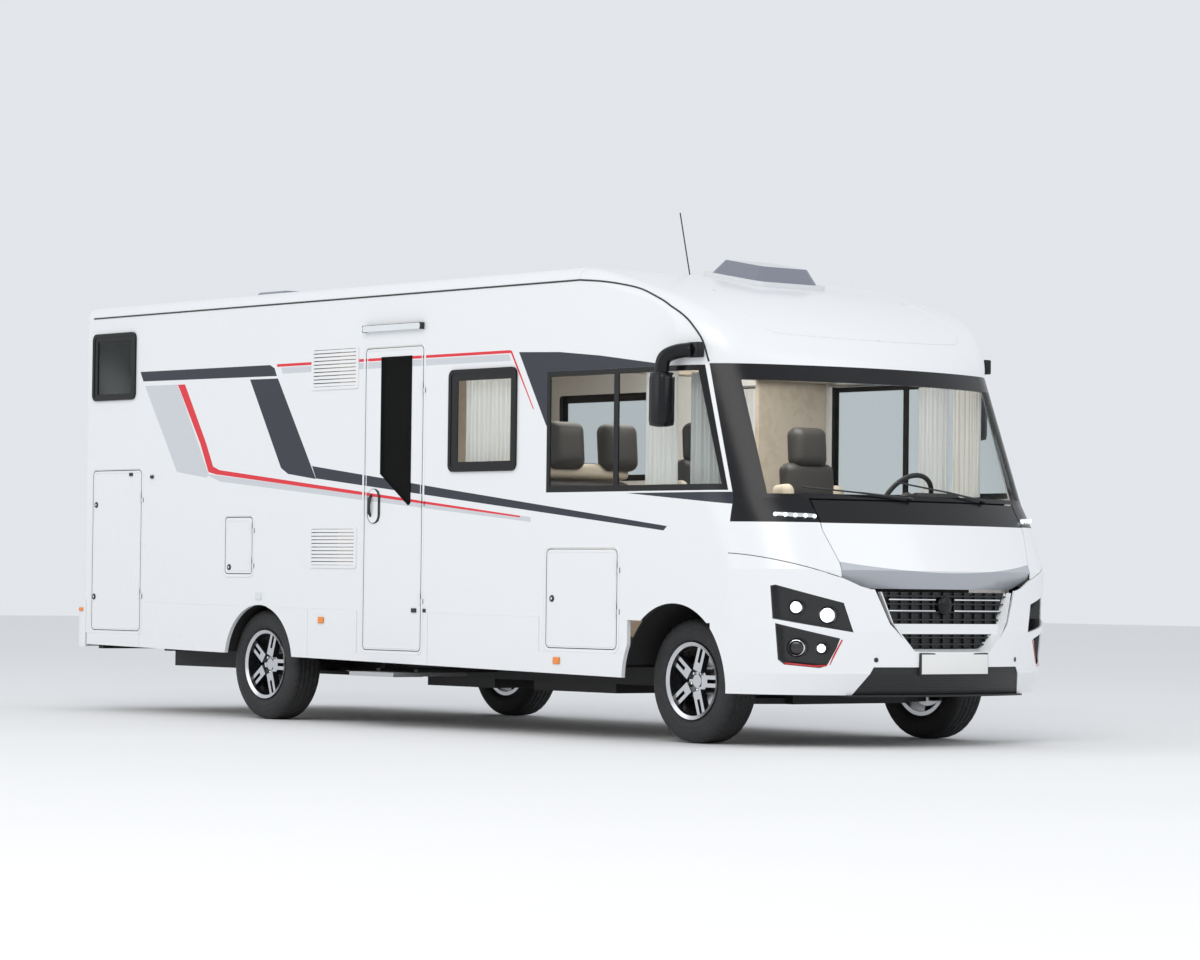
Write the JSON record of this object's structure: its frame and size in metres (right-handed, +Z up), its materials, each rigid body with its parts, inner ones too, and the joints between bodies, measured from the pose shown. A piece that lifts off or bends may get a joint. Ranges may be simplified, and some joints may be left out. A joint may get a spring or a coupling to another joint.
{
  "type": "integrated motorhome",
  "caption": "Integrated motorhome with a wraparound windscreen, hinged entry and locker doors, roof hatches, sliding step, steered front wheels and an open interior.",
  "frame": {"origin": "middle of the overall length and width, on the ground", "axes": "+X forward, +Y to the vehicle's left, +Z up"},
  "size_m": [7.4891, 2.6498, 3.1839],
  "materials": {
    "shell": "gloss white moulding",
    "panel": "gloss white sheet",
    "black": "gloss black",
    "trim": "matt dark grey",
    "glass": "tinted glass",
    "lamp": "lamp housing",
    "alloy": "painted alloy",
    "tyre": "black rubber",
    "steel": "black chassis paint",
    "fabric": "upholstery",
    "board": "furniture board"
  },
  "bodies": {
    "coach": {"bumper_front": "shell", "chassis_frame": "steel", "cowl_panels": "shell", "dashboard": "trim", "engine": "steel", "exterior_lamps": "lamp", "floor": "board", "fridge_vents": "shell", "front_cap": "shell", "front_suspension": "steel", "furniture": "board", "grilles": "trim", "headlamps": "lamp", "mirrors": "black", "rear_axle": "steel", "rear_bumper": "shell", "rear_wall": "shell", "roof_frames": "shell", "roof_panel": "shell", "screen_surround": "black", "seats": "fabric", "side_wall_left": "panel", "side_wall_right": "panel", "skirts": "shell", "tanks": "trim", "wheel_liners": "trim", "windows": "glass", "windscreen": "glass", "wipers": "trim"},
    "entry_door": {"entry_door": "panel", "door_window": "glass"},
    "locker_rear_right": {"locker_rear_right": "panel"},
    "locker_rear_left": {"locker_rear_left": "panel"},
    "locker_front_right": {"locker_front_right": "panel"},
    "service_hatch": {"service_hatch": "panel"},
    "bonnet": {"bonnet": "shell"},
    "skylight_lid": {"skylight_lid": "shell"},
    "roof_vent_lid": {"roof_vent_lid": "shell"},
    "entry_step": {"entry_step": "alloy"},
    "knuckle_right": {"knuckle_right": "steel"},
    "knuckle_left": {"knuckle_left": "steel"},
    "wheel_front_right": {"tyre_front_right": "tyre", "rim_front_right": "alloy"},
    "wheel_front_left": {"tyre_front_left": "tyre", "rim_front_left": "alloy"},
    "wheel_rear_right": {"tyre_rear_right": "tyre", "rim_rear_right": "alloy"},
    "wheel_rear_left": {"tyre_rear_left": "tyre", "rim_rear_left": "alloy"}
  },
  "joints": [
    {"name": "entry_door_hinge", "type": "hinge", "parent": "coach", "child": "entry_door", "pos_m": [0.2475, -1.171, 1], "axis": [0, 0, 1], "range_deg": [0, 165]},
    {"name": "locker_rear_right_hinge", "type": "hinge", "parent": "coach", "child": "locker_rear_right", "pos_m": [-2.9065, -1.171, 1], "axis": [0, 0, 1], "range_deg": [0, 165]},
    {"name": "locker_rear_left_hinge", "type": "hinge", "parent": "coach", "child": "locker_rear_left", "pos_m": [-2.9065, 1.171, 1], "axis": [0, 0, -1], "range_deg": [0, 165]},
    {"name": "locker_front_right_hinge", "type": "hinge", "parent": "coach", "child": "locker_front_right", "pos_m": [2.1345, -1.171, 1], "axis": [0, 0, 1], "range_deg": [0, 165]},
    {"name": "service_hatch_hinge", "type": "hinge", "parent": "coach", "child": "service_hatch", "pos_m": [-1.5825, -1.171, 1], "axis": [0, 0, 1], "range_deg": [0, 165]},
    {"name": "bonnet_hinge", "type": "hinge", "parent": "coach", "child": "bonnet", "pos_m": [3.505, 0, 1.378], "axis": [0, -1, 0], "range_deg": [0, 70]},
    {"name": "skylight_lid_hinge", "type": "hinge", "parent": "coach", "child": "skylight_lid", "pos_m": [1.8457, 0, 2.7929], "axis": [0, -1, 0], "range_deg": [0, 50]},
    {"name": "roof_vent_lid_hinge", "type": "hinge", "parent": "coach", "child": "roof_vent_lid", "pos_m": [-2.558, 0, 2.799], "axis": [0, -1, 0], "range_deg": [0, 50]},
    {"name": "entry_step_slide", "type": "slide", "parent": "coach", "child": "entry_step", "axis": [0, 1, 0], "range_m": [0, 0.22]},
    {"name": "steer_right", "type": "hinge", "parent": "coach", "child": "knuckle_right", "pos_m": [2.62, -0.8, 0.357], "axis": [0, 0, 1], "range_deg": [-33, 33]},
    {"name": "steer_left", "type": "hinge", "parent": "coach", "child": "knuckle_left", "pos_m": [2.62, 0.8, 0.357], "axis": [0, 0, 1], "range_deg": [-33, 33]},
    {"name": "wheel_front_right_spin", "type": "hinge", "parent": "knuckle_right", "child": "wheel_front_right", "pos_m": [2.62, -0.904, 0.357], "axis": [0, 1, 0], "continuous": true},
    {"name": "wheel_front_left_spin", "type": "hinge", "parent": "knuckle_left", "child": "wheel_front_left", "pos_m": [2.62, 0.904, 0.357], "axis": [0, 1, 0], "continuous": true},
    {"name": "wheel_rear_right_spin", "type": "hinge", "parent": "coach", "child": "wheel_rear_right", "pos_m": [-1.523, -0.99, 0.357], "axis": [0, 1, 0], "continuous": true},
    {"name": "wheel_rear_left_spin", "type": "hinge", "parent": "coach", "child": "wheel_rear_left", "pos_m": [-1.523, 0.99, 0.357], "axis": [0, 1, 0], "continuous": true}
  ],
  "couplings": [
    {"joint": "steer_left", "follows": "steer_right", "ratio": 1}
  ]
}
